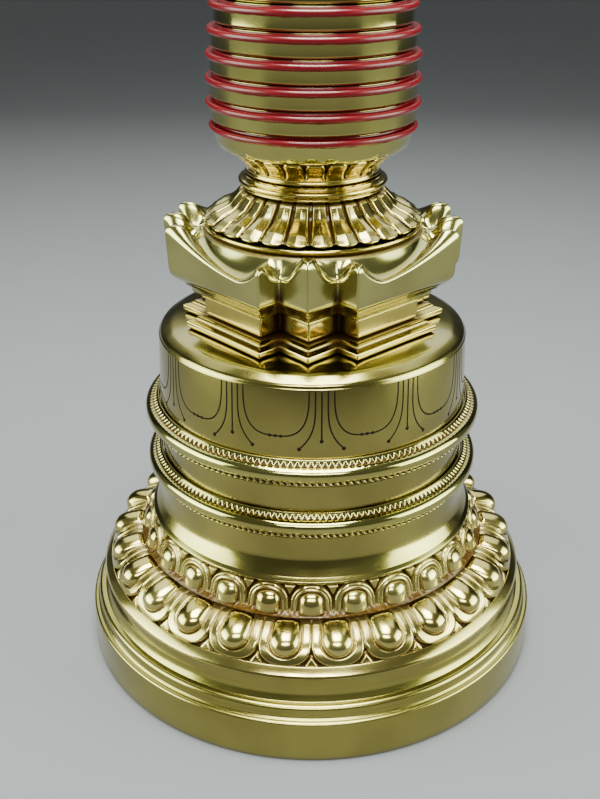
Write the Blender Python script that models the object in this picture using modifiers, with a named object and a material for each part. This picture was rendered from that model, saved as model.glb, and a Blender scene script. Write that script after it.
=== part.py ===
"""A tall cast brass reliquary stupa, built up from stacked hollow castings.

The frame: origin at the centre of the foot's underside, +Z up, and -Y towards the viewer,
who looks at one corner of the stepped square block. Sizes in the profiles are millimetres;
MM turns them into metres where an object is made.
"""
import math
import bpy
import bmesh
from mathutils import Matrix

MM = 0.001
SEAT_GAP = 0.3            # clearance between stacked castings

# Driving sizes, in millimetres
FOOT_RADIUS = 75.0
FOOT_TOP = 25.6
LOTUS_TOP = 37.3          # top of the large lotus
DOME_SEAT = 45.9          # top of the small lotus, where the bell dome stands
DOME_RADIUS = 48.2        # outer radius of the dome's straight wall
DOME_TOP = 111.1
DIE_TOP = 121.8
CORNICE_TOP = 138.9       # flat seat for the salver, inside the horned rim
SALVER_TOP = 141.2
SPIRE_SEAT = 141.6        # underside of everything that lifts off
CUP_TOP = 162.6
CORE_BORE = 6.3           # bore that runs up the axis, and takes both pegs
CORE_RADIUS = 8.0         # outside of the spire's core tube
PEG_RADIUS = 6.0
PEG_TOP = 172.0
POLE_RADIUS = 5.8
CROWN_SEAT = 252.5        # underside of everything on the crown's pin
CROWN_PEG_DEPTH = 26.0
CROWN_PIN_RADIUS = 2.5
TOTAL_HEIGHT = 302.0

# The lotuses and the ribbed skirt
PETALS = 26
PETAL_STEPS = 3           # turns of the profile in each petal
RIBS = 28
RIB_STEPS = 3

# The stepped square block: half width of a bay's face, half length of the bay, inner step
BLOCK_TURN = math.radians(43.4)
PLINTH_PLAN = (36.0, 16.7, 28.4)
DIE_PLAN = (31.8, 12.5, 24.3)
CORNICE_PLAN = (39.4, 20.6, 31.8)
RIM_LOW = 134.2
HORN_TIP = 142.3

# The ringed spire: a short bottom band, then twelve rings that taper like a bud
RING_COUNT = 13
FIRST_BAND_HEIGHT = 7.6
RING_PITCH = 6.44
RING_MAX_RADIUS = 30.3
TAPER_RINGS = 14.5        # rings it would take to close the bud to a point
TAPER_POWER = 2.2
LIP_DEPTH = 1.0           # how far the painted lip stands out from the brass band
LIP_HEIGHT = 1.7
LEDGE_WIDTH = 2.4         # from the lip in to the neck that the next ring stands on

# Faces round a turned shape
WIDE_TURN = 40
NARROW_TURN = 20

BRASS = (0.78, 0.66, 0.30)
AGED_BRASS = (0.50, 0.38, 0.15)
COPPER = (0.72, 0.38, 0.24)
LACQUERED_BRASS = (0.76, 0.60, 0.28)
WOOD = (0.42, 0.27, 0.15)
PAPER = (0.86, 0.80, 0.66)


def clear_scene():
    """Remove every object already in the file."""
    for thing in list(bpy.data.objects):
        bpy.data.objects.remove(thing, do_unlink=True)


def new_collection(name):
    """Make a collection and link it to the scene."""
    group = bpy.data.collections.new(name)
    bpy.context.scene.collection.children.link(group)
    return group


def paint(thing, colour, roughness=0.25, metallic=1.0):
    """Give an object its own Principled material, named for it."""
    look = bpy.data.materials.new(thing.name)
    look.use_nodes = True
    shader = look.node_tree.nodes["Principled BSDF"]
    shader.inputs["Base Color"].default_value = (*colour, 1.0)
    shader.inputs["Roughness"].default_value = roughness
    shader.inputs["Metallic"].default_value = metallic
    thing.data.materials.append(look)


def place(thing, parent, height):
    """Parent an object to a joint's empty and stand it at a height in millimetres."""
    PARTS.objects.link(thing)
    thing.parent = parent
    thing.location = (0.0, 0.0, height * MM - parent.location.z)


def turned(name, parent, profile, colour, steps=WIDE_TURN, **finish):
    """Turn a profile of (radius, height) points about Z.

    The points run down the outer side first. A profile that starts and ends on the axis
    stays open there; any other profile is a closed loop round the wall's section.
    """
    base = min(height for radius, height in profile)
    mesh = bpy.data.meshes.new(name)
    points = [(radius * MM, 0.0, (height - base) * MM) for radius, height in profile]
    edges = [(i, i + 1) for i in range(len(points) - 1)]
    if profile[0][0] > 0.0:
        edges.append((len(points) - 1, 0))
    mesh.from_pydata(points, edges, [])
    thing = bpy.data.objects.new(name, mesh)
    place(thing, parent, base)
    screw = thing.modifiers.new("Turn", "SCREW")
    screw.steps = steps
    screw.render_steps = steps
    screw.use_merge_vertices = True
    screw.merge_threshold = 0.00001
    paint(thing, colour, **finish)
    return thing


def applied(thing):
    """Replace an object's modifiers with the mesh they give."""
    evaluated = thing.evaluated_get(bpy.context.evaluated_depsgraph_get())
    mesh = bpy.data.meshes.new_from_object(evaluated)
    thing.modifiers.clear()
    thing.data = mesh
    return mesh


def scallop(thing, count, inner, outer, swell):
    """Swell a turned shape in lobes, between two radii, out to swell at a lobe's middle."""
    bpy.context.view_layer.update()
    for vertex in applied(thing).vertices:
        radius = math.hypot(vertex.co.x, vertex.co.y)
        if inner * MM < radius < outer * MM:
            angle = math.atan2(vertex.co.y, vertex.co.x)
            lobe = abs(math.cos(0.5 * count * angle)) - 0.5
            scale = 1.0 + lobe * swell * MM / radius
            vertex.co.x *= scale
            vertex.co.y *= scale


def horn_rise(cut):
    """Rise of the rim along a bay: 0 over the middle, 1 at the bay's end."""
    return max(0.0, (cut - 0.6) / 0.4) ** 1.7


def stepped_plan(plan, cuts=(0.6, 0.8, 1.0)):
    """Points round a square with two steps cut from each corner, and each one's horn rise.

    plan is (face distance, half bay, step). cuts are the places along a bay's face, as
    fractions of its half length.
    """
    face, bay, step = plan
    middle = 0.5 * (face + step)
    side = 0.5 * (bay + step)
    quarter = [(face, -bay * cut, horn_rise(cut)) for cut in reversed(cuts)]
    quarter += [(face, bay * cut, horn_rise(cut)) for cut in cuts]
    quarter += [(middle, bay, 0.3), (step, bay, 0.0), (step, side, 0.3), (step, step, 1.0)]
    quarter += [(side, step, 0.3), (bay, step, 0.0), (bay, middle, 0.3)]
    loop = []
    for turn in range(4):
        angle = BLOCK_TURN + turn * math.pi / 2.0
        for x, y, rise in quarter:
            u = x * math.cos(angle) - y * math.sin(angle)
            v = x * math.sin(angle) + y * math.cos(angle)
            loop.append((u, v, rise))
    return loop


def inset(plan, width):
    """A stepped plan drawn in by a width on every face."""
    return tuple(size - width for size in plan)


def plan_level(plan, height, rise=0.0):
    """One level of a stepped block: its plan's points, lifted by rise at the horns."""
    return [(x, y, height + rise * horn) for x, y, horn in stepped_plan(plan)]


def circle_level(radius, height):
    """A round level with a point for each point of the stepped plan."""
    level = []
    for x, y, horn in stepped_plan(CORNICE_PLAN):
        angle = math.atan2(y, x)
        level.append((radius * math.cos(angle), radius * math.sin(angle), height))
    return level


def stepped_block(name, levels, colour, **finish):
    """Loft a stepped block through levels that run up its outside and down its bore."""
    base = min(height for level in levels for x, y, height in level)
    shape = bmesh.new()
    loops = []
    for level in levels:
        loops.append([shape.verts.new((x * MM, y * MM, (z - base) * MM)) for x, y, z in level])
    count = len(levels[0])
    for lower, upper in zip(loops, loops[1:] + loops[:1]):
        for i in range(count):
            j = (i + 1) % count
            shape.faces.new((lower[i], lower[j], upper[j], upper[i]))
    bmesh.ops.triangulate(shape, faces=shape.faces)
    mesh = bpy.data.meshes.new(name)
    shape.to_mesh(mesh)
    shape.free()
    thing = bpy.data.objects.new(name, mesh)
    place(thing, BASE, base)
    paint(thing, colour, **finish)
    return thing


# ---- the foot, the lotuses and the bell dome -------------------------------------------

def make_foot():
    """The foot: a hollow drum with a band, a groove, a step and a hollow-faced wall."""
    turned("foot_plinth", BASE, [
        (69.3, FOOT_TOP), (69.6, 25.0), (69.5, 21.5), (70.1, 18.6), (71.2, 17.5),
        (72.4, 16.9), (72.6, 15.8), (71.9, 15.2), (73.9, 14.4), (74.6, 13.2),
        (FOOT_RADIUS, 1.0), (74.5, 0.0), (67.2, 0.0), (67.2, 2.6), (64.0, 2.6),
        (64.0, 5.0), (68.4, 8.0), (66.8, 22.4), (60.0, 22.6), (60.0, FOOT_TOP),
    ], BRASS, roughness=0.3)


def make_cover_plate():
    """The copper plate let into the foot's underside."""
    turned("base_cover_plate", BASE, [
        (0.0, 2.3), (66.5, 2.3), (66.9, 1.9), (66.9, 1.3), (66.5, 0.9), (0.0, 0.9),
    ], COPPER, roughness=0.4)


def make_large_lotus():
    """The ring of large petals, spreading out and down to the foot's edge."""
    ring = turned("large_lotus_ring", BASE, [
        (55.6, LOTUS_TOP), (57.6, 36.6), (61.6, 35.4), (65.0, 32.6), (66.8, 28.8),
        (69.4, 27.4), (69.8, 26.6), (69.6, 25.9), (60.5, 25.9), (58.0, 31.2), (52.5, 33.8),
        (47.0, 33.8), (47.0, LOTUS_TOP),
    ], BRASS, steps=PETALS * PETAL_STEPS)
    scallop(ring, PETALS, inner=61.0, outer=68.0, swell=1.4)


def make_small_lotus():
    """The ring of small petals that stands up under the bell's lip."""
    ring = turned("small_lotus_ring", BASE, [
        (53.3, DOME_SEAT), (54.2, 44.8), (54.9, 42.0), (55.2, 39.2), (54.9, 37.6),
        (49.0, 37.6), (49.0, DOME_SEAT),
    ], BRASS, steps=PETALS * PETAL_STEPS)
    scallop(ring, PETALS, inner=52.0, outer=58.0, swell=0.8)


def make_dome():
    """The hollow bell dome, from its turned-out lip to its nearly flat top."""
    turned("bell_dome", BASE, [
        (CORE_BORE, DOME_TOP), (39.0, DOME_TOP), (43.5, 110.7), (46.3, 109.3), (47.4, 106.9),
        (47.9, 98.0), (DOME_RADIUS, 86.6), (DOME_RADIUS, 60.6), (48.5, 55.5), (49.4, 51.2),
        (50.7, 48.8), (52.3, 48.0), (52.7, 47.1), (52.3, 46.2), (47.5, 46.2),
        (45.4, 53.0), (45.0, 61.0), (45.0, 99.0), (44.0, 105.0), (39.0, 108.3),
        (CORE_BORE, 108.3),
    ], BRASS, roughness=0.12)


def make_beaded_rings():
    """Two rings soldered round the dome, each a round moulding under a row of beads."""
    for name, foot in (("lower_beaded_ring", 61.0), ("upper_beaded_ring", 78.2)):
        turned(name, BASE, [
            (48.6, foot + 8.2), (49.6, foot + 8.0), (51.6, foot + 6.2), (52.6, foot + 5.4),
            (52.9, foot + 4.2), (52.3, foot + 2.6), (50.6, foot + 1.4), (49.6, foot),
            (48.6, foot),
        ], BRASS, roughness=0.15)


# ---- the stepped block -----------------------------------------------------------------

def make_plinth_slab():
    """The slab under the block: undercut below, bevelled above."""
    stepped_block("harmika_plinth", [
        circle_level(CORE_BORE, DOME_TOP + SEAT_GAP),
        plan_level(inset(PLINTH_PLAN, 2.6), DOME_TOP + SEAT_GAP),
        plan_level(PLINTH_PLAN, 112.5),
        plan_level(PLINTH_PLAN, 113.6),
        plan_level(inset(PLINTH_PLAN, 1.2), 114.3),
        plan_level(inset(PLINTH_PLAN, 3.2), 115.0),
        circle_level(CORE_BORE, 115.0),
    ], BRASS)


def make_die():
    """The plain block between the slab and the cornice."""
    stepped_block("harmika_die", [
        circle_level(CORE_BORE, 115.3),
        plan_level(DIE_PLAN, 115.3),
        plan_level(inset(DIE_PLAN, 0.2), DIE_TOP),
        circle_level(CORE_BORE, DIE_TOP),
    ], AGED_BRASS)


def make_cornice():
    """The heavy cornice: a bellied edge, a low rim and a horn at every outer corner."""
    rise = HORN_TIP - RIM_LOW
    stepped_block("harmika_cornice", [
        circle_level(CORE_BORE, DIE_TOP + SEAT_GAP),
        plan_level(inset(CORNICE_PLAN, 5.6), DIE_TOP + SEAT_GAP),
        plan_level(inset(CORNICE_PLAN, 5.2), 124.4),
        plan_level(inset(CORNICE_PLAN, 2.4), 125.9),
        plan_level(inset(CORNICE_PLAN, 0.9), 128.3),
        plan_level(inset(CORNICE_PLAN, 0.2), 131.0),
        plan_level(CORNICE_PLAN, RIM_LOW, rise),
        plan_level(inset(CORNICE_PLAN, 1.6), RIM_LOW - 0.2, rise * 0.75),
        plan_level(inset(CORNICE_PLAN, 4.2), 134.6, 1.0),
        circle_level(30.5, CORNICE_TOP),
        circle_level(CORE_BORE, CORNICE_TOP),
    ], BRASS, roughness=0.12)


def make_salver():
    """The thin round disc that lies between the horns."""
    turned("salver_disc", BASE, [
        (CORE_BORE, SALVER_TOP), (32.6, SALVER_TOP), (33.3, 140.5), (33.0, 139.6),
        (32.2, 139.2), (CORE_BORE, 139.2),
    ], BRASS, roughness=0.15)


# ---- inside the body -------------------------------------------------------------------

def make_pole_and_scroll():
    """The wooden pole on the axis, and the paper scroll wound round it inside the dome."""
    turned("life_pole", BASE, [
        (0.0, 124.0), (4.8, 124.0), (POLE_RADIUS, 100.0), (POLE_RADIUS, 2.6), (0.0, 2.6),
    ], WOOD, steps=NARROW_TURN, roughness=0.8, metallic=0.0)
    turned("mantra_scroll", BASE, [
        (6.2, 104.0), (17.0, 104.0), (17.5, 103.0), (17.5, 9.0), (17.0, 8.0), (6.2, 8.0),
    ], PAPER, steps=NARROW_TURN, roughness=0.9, metallic=0.0)


def make_peg():
    """The peg that stands up from the cornice's bore and holds the spire upright."""
    turned("spire_peg", BASE, [
        (0.0, PEG_TOP), (4.6, PEG_TOP), (PEG_RADIUS, PEG_TOP - 1.6), (PEG_RADIUS, 124.3),
        (0.0, 124.3),
    ], BRASS, steps=NARROW_TURN, roughness=0.4)


# ---- the spire, which lifts off the peg ------------------------------------------------

def make_ribbed_skirt():
    """The hollow skirt of radiating ribs at the spire's foot."""
    skirt = turned("ribbed_skirt", SPIRE, [
        (20.6, 150.9), (22.4, 149.4), (25.4, 146.2), (29.0, 143.8), (31.4, 142.8),
        (31.6, SPIRE_SEAT), (27.5, SPIRE_SEAT), (22.0, 145.2), (17.0, 148.3),
        (CORE_RADIUS + SEAT_GAP, 148.3), (CORE_RADIUS + SEAT_GAP, 150.9),
    ], BRASS, steps=RIBS * RIB_STEPS)
    scallop(skirt, RIBS, inner=21.5, outer=33.0, swell=0.9)


def make_neck():
    """The round moulding above the ribs and the lotus cup under the rings."""
    bore = CORE_RADIUS + SEAT_GAP
    turned("neck_ring", SPIRE, [
        (bore, 155.2), (19.8, 155.2), (21.0, 154.7), (21.6, 153.3), (21.0, 151.8),
        (19.8, 151.2), (bore, 151.2),
    ], BRASS, roughness=0.15)
    turned("lotus_cup", SPIRE, [
        (21.6, CUP_TOP), (24.1, CUP_TOP), (24.3, 161.8), (22.6, 159.2), (20.1, 157.5),
        (19.2, 156.9), (19.7, 156.3), (19.4, 155.5), (bore, 155.5), (bore, 157.4),
        (16.5, 157.6), (19.6, 160.0),
    ], BRASS)


def ring_radius(index):
    """Outer radius of a ring: the bottom band is narrower, the rest follow a bud's curve."""
    if index == 0:
        return 28.2
    return RING_MAX_RADIUS * (1.0 - ((index - 1) / TAPER_RINGS) ** TAPER_POWER)


def ring_foot(index):
    """Height of a ring's lower edge."""
    if index == 0:
        return CUP_TOP + SEAT_GAP
    return CUP_TOP + SEAT_GAP + FIRST_BAND_HEIGHT + SEAT_GAP + RING_PITCH * (index - 1)


def make_spire_rings():
    """Thirteen hollow rings on the core tube: a plain band under a lip and a narrow ledge."""
    bore = CORE_RADIUS + SEAT_GAP
    for index in range(RING_COUNT):
        lip = ring_radius(index) if index else ring_radius(0) + 1.4
        band = lip - LIP_DEPTH
        foot = ring_foot(index)
        height = FIRST_BAND_HEIGHT if index == 0 else RING_PITCH - SEAT_GAP
        top = foot + height
        low_band = band - (2.6 if index == 0 else 0.0)
        neck = lip - LEDGE_WIDTH
        hollow = max(low_band - 2.6, bore + 1.0)
        turned(f"spire_ring_{index + 1:02d}", SPIRE, [
            (neck, top), (lip - 0.5, top - 0.7), (lip, top - 0.5 * LIP_HEIGHT - 0.4),
            (band, top - LIP_HEIGHT - 0.6), (low_band, foot), (hollow, foot),
            (hollow, top - 2.4), (bore, top - 2.0), (bore, top),
        ], LACQUERED_BRASS, steps=NARROW_TURN)


def make_spire_core():
    """The tube that every ring is threaded on, and the cap that closes the stack."""
    stack_top = ring_foot(RING_COUNT) - SEAT_GAP
    turned("spire_core_tube", SPIRE, [
        (CORE_BORE, stack_top), (CORE_RADIUS, stack_top), (CORE_RADIUS, SPIRE_SEAT),
        (CORE_BORE, SPIRE_SEAT),
    ], BRASS, steps=NARROW_TURN)
    turned("spire_cap", SPIRE, [
        (CORE_BORE, CROWN_SEAT - SEAT_GAP), (9.6, CROWN_SEAT - SEAT_GAP),
        (11.4, CROWN_SEAT - 1.4), (10.2, stack_top + 1.6), (9.0, stack_top + SEAT_GAP),
        (CORE_BORE, stack_top + SEAT_GAP),
    ], BRASS, steps=NARROW_TURN)


# ---- the crown, which lifts off the spire ----------------------------------------------

def make_crown_pin():
    """The stepped pin that plugs into the core tube and carries the crown."""
    turned("crown_pin", CROWN, [
        (0.0, 266.6), (CROWN_PIN_RADIUS, 266.6), (CROWN_PIN_RADIUS, CROWN_SEAT),
        (PEG_RADIUS, CROWN_SEAT), (PEG_RADIUS, CROWN_SEAT - CROWN_PEG_DEPTH + 1.2),
        (PEG_RADIUS - 1.2, CROWN_SEAT - CROWN_PEG_DEPTH),
        (0.0, CROWN_SEAT - CROWN_PEG_DEPTH),
    ], BRASS, steps=NARROW_TURN)


def make_parasol():
    """The domed parasol with a short hanging edge, and the knop on top of it."""
    bore = CROWN_PIN_RADIUS + SEAT_GAP
    turned("parasol", CROWN, [
        (bore, 262.4), (4.2, 262.4), (7.0, 260.8), (13.0, 259.2), (17.6, 257.0),
        (19.6, 254.9), (20.0, 252.9), (18.6, 252.9), (17.8, 254.6), (12.0, 257.2),
        (8.4, 257.2), (8.4, CROWN_SEAT + SEAT_GAP), (bore, CROWN_SEAT + SEAT_GAP),
    ], BRASS, steps=WIDE_TURN)
    turned("crown_knop", CROWN, [
        (0.0, 267.4), (3.4, 267.4), (4.0, 266.4), (5.6, 265.2), (5.8, 264.2), (4.8, 263.2),
        (3.8, 262.7), (bore, 262.7), (bore, 266.9), (0.0, 266.9),
    ], BRASS, steps=NARROW_TURN)


def arc_points(centre, radius, start, end, count):
    """Points along an arc in the crescent's own plane, in millimetres."""
    points = []
    for i in range(count):
        angle = start + (end - start) * i / (count - 1)
        points.append((radius * math.cos(angle), centre + radius * math.sin(angle)))
    return points


def make_moon():
    """The crescent moon, horns up: one circle with a smaller, higher one taken away."""
    outer, inner, lift = 12.5, 10.2, 3.0
    meet = (outer ** 2 - inner ** 2 + lift ** 2) / (2.0 * lift)
    outer_end = math.asin(meet / outer)
    inner_end = math.asin((meet - lift) / inner)
    outline = arc_points(outer, outer, math.pi - outer_end, 2.0 * math.pi + outer_end, 25)
    inside = arc_points(outer + lift, inner, inner_end, -math.pi - inner_end, 21)
    outline += inside[1:-1]
    curve = bpy.data.curves.new("crescent_moon", "CURVE")
    curve.dimensions = "2D"
    curve.fill_mode = "BOTH"
    curve.extrude = 1.6 * MM
    spline = curve.splines.new("POLY")
    spline.points.add(len(outline) - 1)
    for point, (x, y) in zip(spline.points, outline):
        point.co = (x * MM, y * MM, 0.0, 1.0)
    spline.use_cyclic_u = True
    moon = bpy.data.objects.new("crescent_moon", curve)
    place(moon, CROWN, 267.7)
    moon.rotation_euler.x = math.radians(90.0)
    paint(moon, BRASS)


def make_sun_and_jewel():
    """The sun's disc held in the crescent, and the flaming jewel that tops it."""
    shape = bmesh.new()
    bmesh.ops.create_uvsphere(shape, u_segments=NARROW_TURN, v_segments=10, radius=5.2 * MM)
    mesh = bpy.data.meshes.new("sun_disc")
    shape.to_mesh(mesh)
    shape.free()
    mesh.transform(Matrix.Diagonal((1.0, 0.62, 1.0, 1.0)))
    sun = bpy.data.objects.new("sun_disc", mesh)
    place(sun, CROWN, 267.7 + 5.3 + SEAT_GAP + 5.2)
    paint(sun, BRASS, roughness=0.12)
    turned("jewel_finial", CROWN, [
        (0.0, TOTAL_HEIGHT), (0.9, 298.5), (2.4, 294.5), (4.2, 291.2), (4.8, 288.2),
        (3.9, 285.6), (1.9, 284.0), (0.0, 284.0),
    ], BRASS, steps=NARROW_TURN)


clear_scene()
PARTS = new_collection("brass reliquary stupa")


def joint_empty(name, height):
    """An empty on the axis, at the height where a body lifts off."""
    empty = bpy.data.objects.new(name, None)
    empty.location = (0.0, 0.0, height * MM)
    PARTS.objects.link(empty)
    return empty


BASE = joint_empty("base_origin", 0.0)
SPIRE = joint_empty("spire_joint", SPIRE_SEAT)
CROWN = joint_empty("crown_joint", CROWN_SEAT)

make_foot()
make_cover_plate()
make_large_lotus()
make_small_lotus()
make_dome()
make_beaded_rings()
make_plinth_slab()
make_die()
make_cornice()
make_salver()
make_pole_and_scroll()
make_peg()
make_ribbed_skirt()
make_neck()
make_spire_rings()
make_spire_core()
make_crown_pin()
make_parasol()
make_moon()
make_sun_and_jewel()
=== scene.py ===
"""Looks of the cast brass reliquary stupa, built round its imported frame.

Lengths inside the shape functions are millimetres, heights are from the surface it stands
on, and angles go round +Z. put_piece() turns millimetres into metres.
"""

import math

import bpy
import numpy as np
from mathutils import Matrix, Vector


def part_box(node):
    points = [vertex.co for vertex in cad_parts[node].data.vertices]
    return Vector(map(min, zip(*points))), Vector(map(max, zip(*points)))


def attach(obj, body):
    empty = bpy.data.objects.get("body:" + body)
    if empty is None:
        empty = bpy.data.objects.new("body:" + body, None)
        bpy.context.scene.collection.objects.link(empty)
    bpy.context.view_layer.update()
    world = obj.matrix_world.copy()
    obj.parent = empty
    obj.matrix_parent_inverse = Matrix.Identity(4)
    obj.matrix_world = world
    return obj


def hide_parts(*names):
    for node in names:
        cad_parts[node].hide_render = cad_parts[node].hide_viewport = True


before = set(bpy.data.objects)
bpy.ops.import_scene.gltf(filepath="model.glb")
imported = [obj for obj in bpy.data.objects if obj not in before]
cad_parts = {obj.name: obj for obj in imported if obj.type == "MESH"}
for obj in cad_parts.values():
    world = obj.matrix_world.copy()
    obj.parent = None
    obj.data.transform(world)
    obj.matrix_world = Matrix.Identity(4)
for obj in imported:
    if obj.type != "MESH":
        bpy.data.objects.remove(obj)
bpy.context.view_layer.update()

MM = 0.001
TAU = 2.0 * math.pi
BASE, SPIRE, CROWN = "stupa_base", "spire", "crown"


def low(node):
    """Lowest height of a CAD node, in millimetres."""
    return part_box(node)[0].z / MM


def high(node):
    """Highest height of a CAD node, in millimetres."""
    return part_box(node)[1].z / MM


def widest(node):
    """Largest radius of a CAD node about the axis, in millimetres."""
    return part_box(node)[1].x / MM


def add_object(name, data):
    """A new object of the scene that holds some data."""
    thing = bpy.data.objects.new(name, data)
    bpy.context.scene.collection.objects.link(thing)
    return thing


# ---- mesh helpers ----

def put_piece(name, points, faces, look, body, stands_for=(), grime_and_shade=None):
    """Make one finished piece from an array of points and a list of face arrays."""
    mesh = bpy.data.meshes.new(name)
    points = np.asarray(points, float).reshape(-1, 3) * MM
    mesh.vertices.add(len(points))
    mesh.vertices.foreach_set("co", points.ravel())
    corners = np.concatenate([np.asarray(f, np.int32).ravel() for f in faces])
    sizes = np.concatenate([np.full(len(f), np.asarray(f).shape[1]) for f in faces])
    starts = np.concatenate([[0], np.cumsum(sizes)[:-1]]).astype(np.int32)
    mesh.loops.add(len(corners))
    mesh.loops.foreach_set("vertex_index", corners)
    mesh.polygons.add(len(sizes))
    mesh.polygons.foreach_set("loop_start", starts)
    mesh.polygons.foreach_set("use_smooth", np.ones(len(sizes), bool))
    mesh.update(calc_edges=True)
    mesh.validate()
    # A per-point darkening for the brass finishes: grime, and painted shade in hollows.
    if grime_and_shade is not None:
        layer = mesh.attributes.new("grime_and_shade", "FLOAT", "POINT")
        layer.data.foreach_set("value", np.asarray(grime_and_shade, np.float32).ravel())
    mesh.materials.append(look)
    piece = add_object(name, mesh)
    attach(piece, body)
    if stands_for:
        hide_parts(*stands_for)
    return piece


def net(rows, columns, wrap_rows=True, start=0):
    """Quads of a grid whose columns close round the axis, and whose rows may close too."""
    last = rows if wrap_rows else rows - 1
    r = np.arange(last)[:, None]
    c = np.arange(columns)[None, :]
    up, right = (r + 1) % rows, (c + 1) % columns
    quads = np.stack(np.broadcast_arrays(
        r * columns + c, r * columns + right, up * columns + right, up * columns + c), -1)
    return quads.reshape(-1, 4) + start


def round_angles(columns):
    """Evenly spaced angles once round the axis."""
    return np.linspace(0.0, TAU, columns, endpoint=False)


def turn_about(points, turn):
    """Points turned about the axis by an angle: x and y change, a height stays."""
    spin = np.eye(points.shape[-1])
    spin[:2, :2] = [[math.cos(turn), math.sin(turn)], [-math.sin(turn), math.cos(turn)]]
    return points @ spin


def put_ring(name, radius, level, angle, look, body, stands_for=(), grime_and_shade=None):
    """Make a piece of a closed section carried round; the arrays are rows by columns."""
    points = turn_points(radius, level, angle)
    return put_piece(name, points, [net(*points.shape[:2])], look, body, stands_for,
                     grime_and_shade)


def capped(points, rows, columns, first, last):
    """The points and faces of an open grid, closed by a fan to a pole at each end."""
    c = np.arange(columns)
    right = (c + 1) % columns
    top, count = (rows - 1) * columns, rows * columns
    under = np.stack([right, c, np.full(columns, count)], 1)
    over = np.stack([top + c, top + right, np.full(columns, count + 1)], 1)
    return (np.vstack([points.reshape(-1, 3), first, last]),
            [net(rows, columns, wrap_rows=False), under, over])


def join_rows(columns, *parts):
    """Rows of a grid from foot to head; a part of one column is carried round them all."""
    return np.vstack([np.broadcast_to(part, (len(part), columns)) for part in parts])


def run_length(line):
    """How far along a section line each of its points is."""
    return np.concatenate([[0.0], np.cumsum(np.linalg.norm(np.diff(line, axis=0), axis=1))])


def outward(line):
    """Radial and upright parts of the unit normal at each point of a line, as columns."""
    out_r, out_z = np.gradient(line[:, 1]), -np.gradient(line[:, 0])
    size = np.hypot(out_r, out_z)
    return (out_r / size)[:, None], (out_z / size)[:, None]


def off_centre(phase):
    """How far a phase is from the nearest whole number, with its sign."""
    return phase - np.round(phase)


def round_over(depth, half):
    """A quarter of a circle that climbs from 0 at the edge to 1 at depth half."""
    share = np.clip(depth, 0.0, half) / half
    return np.sqrt(np.clip(1.0 - (1.0 - share) ** 2, 0.0, 1.0))


def rounded(corners, steps=6):
    """A section line through (radius, height, fillet) corners, each fillet an arc.

    A fillet begins and ends at its size times the tangent of half the turn from the
    corner, or just short of half the side if that is less.
    """
    line = []
    count = len(corners)
    for i, (x, y, fillet) in enumerate(corners):
        here = np.array([x, y])
        before = np.array(corners[i - 1][:2]) - here
        after = np.array(corners[(i + 1) % count][:2]) - here
        if fillet == 0.0:
            line.append(here)
            continue
        a = before / np.linalg.norm(before)
        b = after / np.linalg.norm(after)
        half = 0.5 * math.acos(np.clip(a @ b, -1.0, 1.0))
        reach = min(fillet / math.tan(half), 0.48 * np.linalg.norm(before),
                    0.48 * np.linalg.norm(after))
        radius = reach * math.tan(half)
        middle = (a + b) / np.linalg.norm(a + b)
        centre = here + middle * radius / math.sin(half)
        first = here + a * reach - centre
        sweep = math.pi - 2.0 * half
        side = math.copysign(1.0, a[0] * b[1] - a[1] * b[0])
        for t in np.linspace(0.0, sweep, steps):
            line.append(centre + turn_about(first, -side * t))
    return np.array(line)


def even(line, spacing, closed=True):
    """Points at an even spacing along a section line."""
    if closed:
        line = np.vstack([line, line[:1]])
    along = run_length(line)
    count = max(3, int(round(along[-1] / spacing)))
    want = np.linspace(0.0, along[-1], count + 1)
    if closed:
        want = want[:-1]
    return np.stack([np.interp(want, along, line[:, k]) for k in (0, 1)], 1)


def turn_points(radius, height, angle):
    """Points at (radius, height) carried round to each angle; arrays broadcast."""
    radius, height, angle = np.broadcast_arrays(radius, height, angle)
    return np.stack([radius * np.cos(angle), radius * np.sin(angle), height], -1)


def smooth_step(low_edge, high_edge, value):
    """0 below the low edge, 1 above the high edge, and a smooth cubic between."""
    t = np.clip((value - low_edge) / (high_edge - low_edge), 0.0, 1.0)
    return t * t * (3.0 - 2.0 * t)


def turned_piece(name, corners, look, body, stands_for=(), columns=256, steps=7):
    """A smooth turned ring: its closed section, filleted, carried round the axis."""
    line = rounded(corners, steps)
    return put_ring(name, line[:, :1], line[:, 1:], round_angles(columns), look, body,
                    stands_for)


def turned_solid(name, corners, look, body, stands_for=(), columns=128):
    """A turned solid that reaches the axis: its outer line, closed by a fan at each end."""
    line = rounded([(0.0, corners[0][1], 0.0)] + list(corners)
                   + [(0.0, corners[-1][1], 0.0)], 7)[1:-1]
    points = turn_points(line[:, :1], line[:, 1:], round_angles(columns))
    points, faces = capped(points, len(line), columns, (0.0, 0.0, line[0, 1]),
                           (0.0, 0.0, line[-1, 1]))
    return put_piece(name, points, faces, look, body, stands_for)


# ---- finishes ----

def set_inputs(node, inputs):
    """Set inputs of a node by name or place; a socket is linked, other values are stored."""
    for key, value in dict(inputs).items():
        if isinstance(value, bpy.types.NodeSocket):
            node.id_data.links.new(value, node.inputs[key])
        else:
            node.inputs[key].default_value = value


def new_look(name):
    """A new material with its shader, a way to add nodes, and the place on the piece."""
    look = bpy.data.materials.new(name)
    look.use_nodes = True

    def add(kind, inputs=(), **settings):
        node = look.node_tree.nodes.new(kind)
        for key, value in settings.items():
            setattr(node, key, value)
        set_inputs(node, inputs)
        return node

    place = add("ShaderNodeTexCoord").outputs["Object"]
    return look, look.node_tree.nodes["Principled BSDF"], add, place


def mix_colour(add, factor, first, second):
    """Mix two colours; the sockets of a colour mix are picked by place."""
    return add("ShaderNodeMix", {0: factor, 6: first, 7: second}, data_type="RGBA").outputs[2]


# Dark brown painted into hollows: grime, and painted shade in clefts, grooves, corners and
# joints.
GRIME_AND_SHADE = (0.060, 0.026, 0.004, 1.0)


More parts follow.
